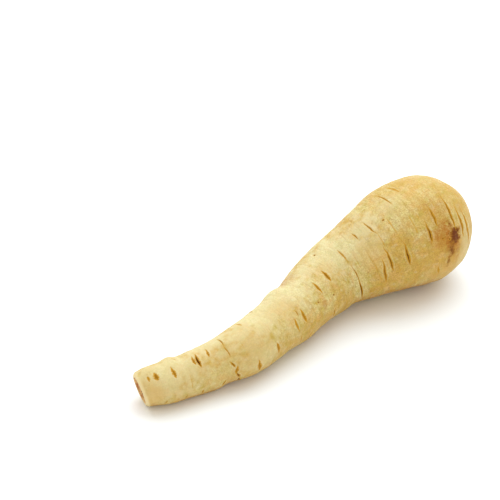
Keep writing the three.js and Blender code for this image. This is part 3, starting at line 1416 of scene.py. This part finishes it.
def refine_outward(piece: bpy.types.Object, face: EndFace, radius: float, reach: float,
                   cuts: int) -> None:
    """Cuts the edges of an end face that run outward from its middle.

    Args:
        piece: The root.
        face: The end face.
        radius: How far out from the face's middle edges are cut, in millimetres.
        reach: How far in or out from the face's plane they may lie, in millimetres.
        cuts: Cuts in each edge.
    """
    places = face.flat(vertex_rows(piece.data))
    right, up, far = places.right, places.up, places.far
    first, second = edge_ends(piece.data)
    length = np.hypot(right[first] - right[second], up[first] - up[second])
    outward = np.abs(far[first] - far[second]) > 0.7 * length  # within about 45 degrees
    near = (np.maximum(far[first], far[second]) < radius) & (np.abs(places.out[first]) < reach)
    cut_edges(piece, near & outward, cuts)


# ---------------------------------------------------------------- finishes


def paint(red: int, green: int, blue: int) -> Paint:
    """Turns a paint-chart colour into the linear colour that shaders use.

    Args:
        red: Its red, 0 to 255.
        green: Its green, 0 to 255.
        blue: Its blue, 0 to 255.

    Returns:
        Red, green, blue and an opacity of 1.
    """
    shares = [c / 255 for c in (red, green, blue)]
    linear = [s / 12.92 if s <= 0.04045 else ((s + 0.055) / 1.055) ** 2.4 for s in shares]
    return (*linear, 1.0)


class Sheet:
    """Adds and joins the nodes of one material or node group."""

    def __init__(self, tree: bpy.types.NodeTree) -> None:
        """Starts on an empty tree."""
        self.tree = tree
        tree.nodes.clear()

    @classmethod
    def of_material(cls, name: str) -> "tuple[bpy.types.Material, Sheet]":
        """Starts a material.

        Args:
            name: The material's name.

        Returns:
            The material and the sheet of its nodes.
        """
        material = bpy.data.materials.new(name)
        material.use_nodes = True
        return material, cls(material.node_tree)

    def add(self, kind: str, inputs: dict | None = None, **settings: object) -> bpy.types.Node:
        """Adds a node.

        Args:
            kind: The node's type.
            inputs: Values or sockets for its inputs, by name or number.
            **settings: The node's own settings.

        Returns:
            The new node.
        """
        node = self.tree.nodes.new(kind)
        for name, value in settings.items():
            setattr(node, name, value)
        for name, value in (inputs or {}).items():
            if isinstance(value, Socket):
                self.tree.links.new(value, node.inputs[name])
            else:
                node.inputs[name].default_value = value
        return node

    def named(self, attribute: str) -> bpy.types.Node:
        """Adds a node that reads a named attribute of the piece."""
        return self.add("ShaderNodeAttribute", attribute_name=attribute)

    def value(self, attribute: str) -> Socket:
        """Returns a named number of the piece."""
        return self.named(attribute).outputs["Fac"]

    def math(self, operation: str, *values: object) -> Socket:
        """Returns the result of a sum on numbers or sockets."""
        return self.add("ShaderNodeMath", dict(enumerate(values)), operation=operation).outputs[0]

    def product(self, first: object, second: object) -> Socket:
        """Returns the product of two numbers or sockets."""
        return self.math("MULTIPLY", first, second)

    def mix(self, share: object, under: object, over: object) -> Socket:
        """Returns one colour laid over another."""
        inputs = {0: share, 6: under, 7: over}
        return self.add("ShaderNodeMix", inputs, data_type="RGBA").outputs[2]

    def wash(self, colour: object, *layers: tuple[object, float, Paint]) -> Socket:
        """Lays thin layers of paint over a colour.

        Args:
            colour: The colour below.
            *layers: For each layer, from the lowest, how much of it shows or the name of
                the attribute that says so, the share that shows where that is 1, and its
                paint.

        Returns:
            The new colour.
        """
        for shown, most, over in layers:
            shown = self.value(shown) if isinstance(shown, str) else shown
            colour = self.mix(self.product(shown, most), colour, over)
        return colour

    def fit(self, value: object, low: float, high: float, to_low: float = 0.0,
            to_high: float = 1.0) -> Socket:
        """Moves a number smoothly from one range to another, and holds it there.

        Args:
            value: The number.
            low: Where the first range begins.
            high: Where it ends.
            to_low: Where the second range begins.
            to_high: Where it ends.

        Returns:
            The moved number.
        """
        inputs = {"Value": value, "From Min": low, "From Max": high,
                  "To Min": to_low, "To Max": to_high}
        node = self.add("ShaderNodeMapRange", inputs, interpolation_type="SMOOTHSTEP")
        return node.outputs["Result"]

    def noise(self, vector: object, scale: float, detail: float = 3.0,
              roughness: float = 0.55) -> Socket:
        """Returns noise, about 0.5, with this many lumps to a metre."""
        inputs = {"Vector": vector, "Scale": scale, "Detail": detail, "Roughness": roughness}
        return self.add("ShaderNodeTexNoise", inputs).outputs["Fac"]

    def stretched(self, vector: object, across: float) -> Socket:
        """Returns places that make a pattern run around the root, by this share of its scale."""
        inputs = {"Vector": vector, "Scale": (1.0, across, across)}
        return self.add("ShaderNodeMapping", inputs).outputs[0]

    def grained(self, grain: bpy.types.NodeTree, place: Socket) -> bpy.types.Node:
        """Adds the shared grain, read at a place."""
        return self.add("ShaderNodeGroup", {"Place": place}, node_tree=grain)

    def finish(self, height: Socket, strength: float, depth: float, inputs: dict) -> None:
        """Ends a material with its relief and its shader.

        Args:
            height: Height of the relief, 0 to 1.
            strength: How strongly it shows.
            depth: Its depth, in millimetres.
            inputs: Values or sockets for the shader's other inputs, by name.
        """
        bumps = {"Strength": strength, "Distance": depth * MM, "Height": height}
        relief = self.add("ShaderNodeBump", bumps).outputs[0]
        shader = self.add("ShaderNodeBsdfPrincipled", {**inputs, "Normal": relief})
        self.add("ShaderNodeOutputMaterial", {"Surface": shader.outputs[0]})


def grain_group() -> bpy.types.NodeTree:
    """Builds the grain that all of the root's finishes share.

    Returns:
        A node group that turns a place into mottling, fibre, thin streaks around the root
        and fine grain, each 0 to 1.
    """
    tree = bpy.data.node_groups.new("root_grain", "ShaderNodeTree")
    sheet = Sheet(tree)
    tree.interface.new_socket("Place", in_out="INPUT", socket_type="NodeSocketVector")
    for name in ("Mottle", "Fibre", "Streak", "Grain"):
        tree.interface.new_socket(name, in_out="OUTPUT", socket_type="NodeSocketFloat")
    place = sheet.add("NodeGroupInput").outputs["Place"]
    sheet.add("NodeGroupOutput", {
        "Mottle": sheet.fit(sheet.noise(place, 55.0, 4.0), 0.32, 0.68),
        "Fibre": sheet.fit(sheet.noise(sheet.stretched(place, 0.16), 520.0, 3.0, 0.6), 0.34, 0.66),
        "Streak": sheet.fit(sheet.noise(sheet.stretched(place, 0.10), 800.0, 2.0, 0.5), 0.60, 0.74),
        "Grain": sheet.fit(sheet.noise(place, 1500.0, 2.0, 0.6), 0.3, 0.7),
    })
    return tree


@dataclass(frozen=True)
class SkinFinish:
    """The pale golden skin, with its creases, stains and patches.

    Attributes:
        cream: The skin where it is paler.
        gold: The skin where it is more golden.
        young: The smoother, more even skin towards the tip.
        olive: Its faint greenish tint.
        pink: Its faint pinkish tint.
        straw: Its fine transverse fibres.
        pale: Its palest patches, partly painted highlight along its top, and the painted highlight
            beside its strong creases.
        warm: Its warmer patches.
        tan: Its weather-worn patches; also the painted shade and warm bounce light along its lower
            side, and a painted bounce light at its neck.
        aged: The more weather-worn skin of the crown.
        fleck: Its small specks.
        ochre: The stain around a crease.
        umber: The stain where it is strongest, and the painted shade on one side of the leaf scar's
            mouth.
        bruise: A bruise.
        crease: The floor of a deep crease, and the painted shade on the leaf scar's wall.
        lip: The painted highlight, in a pale skin colour, around the cut ends: the leaf scar's
            mouth and the tip's rim.
        crispness: Contrast of its grain on the crown and at the tip.
    """

    cream: Paint = paint(217, 205, 141)
    gold: Paint = paint(199, 159, 63)
    young: Paint = paint(212, 186, 116)
    olive: Paint = paint(182, 168, 76)
    pink: Paint = paint(214, 172, 104)
    straw: Paint = paint(184, 146, 58)
    pale: Paint = paint(219, 210, 166)
    warm: Paint = paint(203, 156, 76)
    tan: Paint = paint(166, 104, 26)
    aged: Paint = paint(192, 150, 66)
    fleck: Paint = paint(152, 113, 50)
    ochre: Paint = paint(187, 137, 30)
    umber: Paint = paint(140, 88, 6)
    bruise: Paint = paint(104, 48, 0)
    crease: Paint = paint(88, 44, 2)
    lip: Paint = paint(230, 214, 168)
    crispness: tuple[float, float] = (1.1, 0.5)

    def build(self, grain: bpy.types.NodeTree) -> bpy.types.Material:
        """Builds the material.

        Args:
            grain: The shared grain.

        Returns:
            The finished material.
        """
        material, sheet = Sheet.of_material("root_skin")
        place = sheet.named("straight").outputs["Vector"]
        patterns = sheet.grained(grain, place).outputs
        crisp = sheet.fit(sheet.value("young"), 0.0, 1.0, *self.crispness)
        fibre = self.calmed(sheet, patterns["Fibre"], crisp)
        fine = self.calmed(sheet, patterns["Grain"], crisp)
        streak = sheet.product(patterns["Streak"], crisp)
        core, stain, edge = self.marks(sheet, place)
        bruised = self.over(sheet, "bruise", place, fine, 1.15)

        colour = self.plain_skin(sheet, place, patterns["Mottle"], fibre, fine)
        colour = sheet.wash(colour, (streak, 0.19, self.fleck), ("aged", 0.26, self.aged))
        colour = sheet.mix(self.over(sheet, "tan", place, fine, 1.0), colour, self.tan)
        colour = sheet.mix(sheet.fit(bruised, 0.0, 0.6, 0.0, 0.85), colour, self.umber)
        colour = sheet.mix(sheet.fit(bruised, 0.35, 1.05), colour, self.bruise)
        # Painted highlight beside the strong creases.
        colour = sheet.mix(edge, colour, self.pale)
        colour = sheet.mix(sheet.fit(stain, 0.0, 0.75), colour, self.ochre)
        colour = sheet.mix(sheet.fit(stain, 0.78, 1.0, 0.0, 0.65), colour, self.umber)
        colour = sheet.mix(core, colour, self.crease)
        # Painted highlights: a pale band around the scar's mouth and along the tip's rim.
        colour = sheet.wash(colour, ("lip", 0.62, self.lip), ("rim", 0.60, self.lip),
                            # Painted shade on one side of the scar's mouth, in umber.
                            ("painted_mouth_shade", 0.85, self.umber))
        # Painted shade on the scar's wall, in the crease's colour.
        colour = sheet.mix(sheet.value("shade"), colour, self.crease)

        rough = sheet.math("ADD", sheet.product(fibre, 0.12), 0.42)
        rough = sheet.math("MAXIMUM", rough, sheet.product(core, 0.85))
        height = sheet.math("ADD", sheet.product(fibre, 0.6), sheet.product(fine, 0.4))
        height = sheet.math("SUBTRACT", height, sheet.product(streak, 0.32))
        sheet.finish(height, 0.7, 0.22, {
            "Base Color": colour, "Roughness": rough, "Subsurface Weight": 0.08,
            "Subsurface Radius": (1.0, 0.7, 0.35), "Subsurface Scale": 0.8 * MM,
            "Specular IOR Level": 0.15,
        })
        return material

    def plain_skin(self, sheet: Sheet, place: Socket, mottle: Socket, fibre: Socket,
                   fine: Socket) -> Socket:
        """Colours the skin between its marks.

        Args:
            sheet: The material's nodes.
            place: The place on the straightened root.
            mottle: The broad mottling.
            fibre: The transverse fibres.
            fine: The fine grain.

        Returns:
            The skin's colour.
        """
        tint = sheet.noise(place, 230.0, 3.0, 0.6)
        blister = sheet.fit(sheet.noise(place, 300.0, 1.0), 0.58, 0.76)
        flecks = sheet.fit(sheet.noise(place, 820.0, 2.0), 0.62, 0.73)
        flecks = sheet.product(flecks, sheet.fit(sheet.value("young"), 0.0, 1.0, 1.0, 0.4))
        blotch = sheet.fit(sheet.noise(place, 120.0, 3.0), 0.52, 0.72, 0.0, 0.40)
        colour = sheet.mix(sheet.fit(mottle, 0.0, 1.0, 0.05, 0.92), self.cream, self.gold)
        colour = sheet.mix(blotch, colour, self.pale)
        colour = sheet.mix(sheet.fit(tint, 0.50, 0.70, 0.0, 0.70), colour, self.olive)
        colour = sheet.mix(sheet.fit(tint, 0.50, 0.34, 0.0, 0.62), colour, self.pink)
        colour = sheet.wash(colour, ("young", 0.16, self.young), (fibre, 0.40, self.straw),
                            (blister, 0.32, self.pale))
        colour = sheet.mix(sheet.fit(fine, 0.0, 1.0, 0.0, 0.46), colour, self.fleck)
        return sheet.wash(colour, (flecks, 0.60, self.fleck), ("pale", 0.62, self.pale),
                          ("warm", 0.50, self.warm))

    def calmed(self, sheet: Sheet, value: Socket, share: Socket) -> Socket:
        """Returns a pattern with this share of its contrast."""
        return sheet.math("ADD", sheet.product(sheet.math("SUBTRACT", value, 0.5), share), 0.5)

    def marks(self, sheet: Sheet, place: Socket) -> tuple[Socket, Socket, Socket]:
        """Draws the creases' grooves and stains with ragged edges.

        Args:
            sheet: The material's nodes.
            place: The place on the straightened root.

        Returns:
            How dark the groove is, how strong the stain, and how strong the painted highlight
            on the skin's raised edge beside it, each 0 to 1.
        """
        ragged = sheet.fit(sheet.noise(place, 1500.0, 2.0, 0.6), 0.25, 0.75, -0.30, 0.30)
        core_gap = sheet.math("ADD", sheet.value("core_gap"), ragged)
        stain_gap = sheet.math("ADD", sheet.value("stain_gap"), ragged)
        core = sheet.product(sheet.fit(core_gap, 0.35, 1.05, 1.0, 0.0), sheet.value("core"))
        stain = sheet.product(sheet.fit(stain_gap, 0.40, 1.20, 1.0, 0.0), sheet.value("stain"))
        # Painted highlight: a thin pale band just outside a strong stain, standing in for light
        # caught by the crease's raised lips.
        beside = sheet.product(sheet.fit(stain_gap, 1.0, 1.3), sheet.fit(stain_gap, 2.3, 1.6))
        edge = sheet.product(beside, sheet.fit(sheet.value("stain"), 0.55, 0.85, 0.0, 0.20))
        return core, stain, edge

    def over(self, sheet: Sheet, attribute: str, place: Socket, grain: Socket,
             most: float) -> Socket:
        """Breaks up a patch by the grain.

        Args:
            sheet: The material's nodes.
            attribute: The patch's attribute.
            place: The place on the straightened root.
            grain: The fine grain.
            most: How strong the patch is at its strongest.

        Returns:
            How strongly the patch covers the skin.
        """
        patchy = sheet.fit(sheet.noise(place, 760.0, 3.0, 0.65), 0.35, 0.65, -0.26, 0.22)
        broken = sheet.math("ADD", sheet.product(grain, 0.35), most - 0.3)
        return sheet.product(sheet.value(attribute), sheet.math("ADD", broken, patchy))


@dataclass(frozen=True)
class ScarFinish:
    """The dry cork and papery leaf bases in the crown's scar.

    Attributes:
        dark: The cork's hollows, and the painted shade on the scar's wall.
        cork: The cork.
        paper: The leaf bases' dry rims.
        heart: The newest leaf base.
    """

    dark: Paint = paint(30, 17, 11)
    cork: Paint = paint(124, 82, 60)
    paper: Paint = paint(220, 188, 138)
    heart: Paint = paint(204, 140, 48)

    def build(self, grain: bpy.types.NodeTree) -> bpy.types.Material:
        """Builds the material.

        Args:
            grain: The shared grain.

        Returns:
            The finished material.
        """
        material, sheet = Sheet.of_material("leaf_scar")
        place = sheet.add("ShaderNodeTexCoord").outputs["Object"]
        crumbs = sheet.fit(sheet.noise(place, 700.0, 4.0, 0.65), 0.43, 0.62)
        dusty = sheet.fit(sheet.noise(place, 420.0, 2.0), 0.34, 0.62, 0.25, 1.0)
        heart = sheet.product(sheet.value("heart"), sheet.fit(crumbs, 0.0, 1.0, 0.45, 1.0))
        rims = sheet.product(sheet.fit(sheet.value("rims"), 0.15, 0.65), dusty)
        colour = sheet.mix(crumbs, self.dark, self.cork)
        colour = sheet.mix(heart, colour, self.heart)
        colour = sheet.mix(rims, colour, self.paper)
        # Painted shade on the scar's wall.
        colour = sheet.mix(sheet.value("shade"), colour, self.dark)
        height = sheet.math("ADD", crumbs, sheet.grained(grain, place).outputs["Grain"])
        sheet.finish(height, 0.8, 0.3, {
            "Base Color": colour, "Roughness": 0.82, "Specular IOR Level": 0.3,
        })
        return material


@dataclass(frozen=True)
class TipFinish:
    """The dried cut face of the tip.

    Attributes:
        flesh: The paler flesh, also laid along the rim as a painted highlight.
        dry: The flesh where it has dried.
        dark: Its small hollows.
    """

    flesh: Paint = paint(214, 170, 110)
    dry: Paint = paint(168, 108, 58)
    dark: Paint = paint(84, 46, 22)

    def build(self, grain: bpy.types.NodeTree) -> bpy.types.Material:
        """Builds the material.

        Args:
            grain: The shared grain.

        Returns:
            The finished material.
        """
        material, sheet = Sheet.of_material("cut_tip")
        place = sheet.add("ShaderNodeTexCoord").outputs["Object"]
        patchy = sheet.fit(sheet.noise(place, 330.0, 3.0), 0.40, 0.62)
        holes = sheet.fit(sheet.noise(place, 520.0, 2.0), 0.58, 0.66)
        colour = sheet.mix(patchy, self.flesh, self.dry)
        # The rim is washed toward the paler flesh as a painted highlight.
        colour = sheet.wash(colour, ("ring", 0.5, self.dry), (holes, 0.9, self.dark),
                            ("rim", 0.5, self.flesh))
        height = sheet.math("ADD", patchy, sheet.grained(grain, place).outputs["Grain"])
        sheet.finish(height, 0.6, 0.2, {
            "Base Color": colour, "Roughness": 0.7, "Subsurface Weight": 0.1,
            "Subsurface Scale": 1.0 * MM, "Specular IOR Level": 0.25,
        })
        return material


# ---------------------------------------------------------------- the studio


@dataclass
class Studio:
    """The floor, the lights and the camera.

    Attributes:
        aim: Where the camera looks, from the middle of the root's footprint, in metres.
        azimuth: The camera's direction around the root, in degrees.
        elevation: Its height above the horizon, in degrees.
        distance: Its distance from where it looks.
        lens: Its focal length, in millimetres.
        floor_size: Side of the floor.
        floor_paint: Colour of the floor.
        room_colour: Colour of the light that fills the room.
        room_strength: Its strength.
        key_place: Right of, behind and above the root as the camera sees it, in metres,
            where the soft light hangs.
        key_size: Side of the soft light.
        key_power: Its power, in watts.
        key_colour: Its colour.
    """

    aim: Place = (0.0215, 0.0745, 0.0)
    azimuth: float = -38.3
    elevation: float = 35.0
    distance: float = 0.935
    lens: float = 117.7
    floor_size: float = 6.0
    floor_paint: Paint = (0.90, 0.905, 0.90, 1.0)
    room_colour: Paint = (1.0, 0.962, 0.886, 1.0)
    room_strength: float = 0.99
    key_place: Place = (0.12, 0.78, 1.02)
    key_size: float = 2.0
    key_power: float = 22.6
    key_colour: tuple[float, float, float] = (0.865, 1.02, 1.20)

    def build(self) -> None:
        """Builds the whole studio."""
        self.floor()
        self.daylight()
        self.soft_box()
        self.camera()
        bpy.context.scene.view_settings.view_transform = "Standard"

    def floor(self) -> None:
        """Lays the pale floor."""
        deselect_all()
        bpy.ops.mesh.primitive_plane_add(size=self.floor_size, location=(0, 0, 0))
        floor = bpy.context.object
        floor.name = "floor"
        material = bpy.data.materials.new("floor_paint")
        material.use_nodes = True
        inputs = material.node_tree.nodes["Principled BSDF"].inputs
        inputs["Base Color"].default_value = self.floor_paint
        inputs["Roughness"].default_value = 0.9
        inputs["Specular IOR Level"].default_value = 0.1
        floor.data.materials.append(material)

    def daylight(self) -> None:
        """Fills the room with soft white light."""
        world = bpy.data.worlds.new("room")
        world.use_nodes = True
        background = world.node_tree.nodes["Background"]
        background.inputs["Color"].default_value = self.room_colour
        background.inputs["Strength"].default_value = self.room_strength
        bpy.context.scene.world = world

    def soft_box(self) -> None:
        """Hangs a square soft light that faces the root."""
        data = bpy.data.lights.new("key", "AREA")
        data.size, data.energy, data.color = self.key_size, self.key_power, self.key_colour
        light = bpy.data.objects.new("key", data)
        turn = math.radians(self.azimuth)
        right = Vector((math.cos(turn), math.sin(turn), 0.0))
        away = Vector((-math.sin(turn), math.cos(turn), 0.0))
        light.location = (right * self.key_place[0] + away * self.key_place[1]
                          + Vector((0, 0, self.key_place[2])))
        light.rotation_euler = (-light.location).to_track_quat("-Z", "Y").to_euler()
        bpy.context.scene.collection.objects.link(light)

    def camera(self) -> None:
        """Places the camera and makes it the scene's."""
        data = bpy.data.cameras.new("camera")
        data.lens = self.lens
        camera = bpy.data.objects.new("camera", data)
        turn, rise = math.radians(self.azimuth), math.radians(self.elevation)
        level = math.cos(rise)
        back = Vector((math.sin(turn) * level, -math.cos(turn) * level, math.sin(rise)))
        camera.location = Vector(self.aim) + back * self.distance
        camera.rotation_euler = (-back).to_track_quat("-Z", "Y").to_euler()
        bpy.context.scene.collection.objects.link(camera)
        bpy.context.scene.camera = camera


# ---------------------------------------------------------------- putting it together


def main() -> None:
    """Builds the root and the studio, and reports each piece."""
    logging.basicConfig(level=logging.INFO, format="%(message)s")
    Studio().build()
    course = Course.of_node(NODE)
    far_side = FarSide()
    body = RootBody(creases=[*FRONT_CREASES, *far_side.creases()],
                    patches=[*FRONT_PATCHES, *far_side.patches()],
                    swells=FRONT_SWELLS, pits=FRONT_PITS)
    root = body.build(course, (CrownEnd(), TipEnd()))
    body.dress(root)
    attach(root, BODY)
    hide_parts(NODE)
    triangles = sum(len(p.vertices) - 2 for p in root.data.polygons)
    LOG.info("%s: %d triangles", root.name, triangles)


if __name__ == "__main__":
    main()
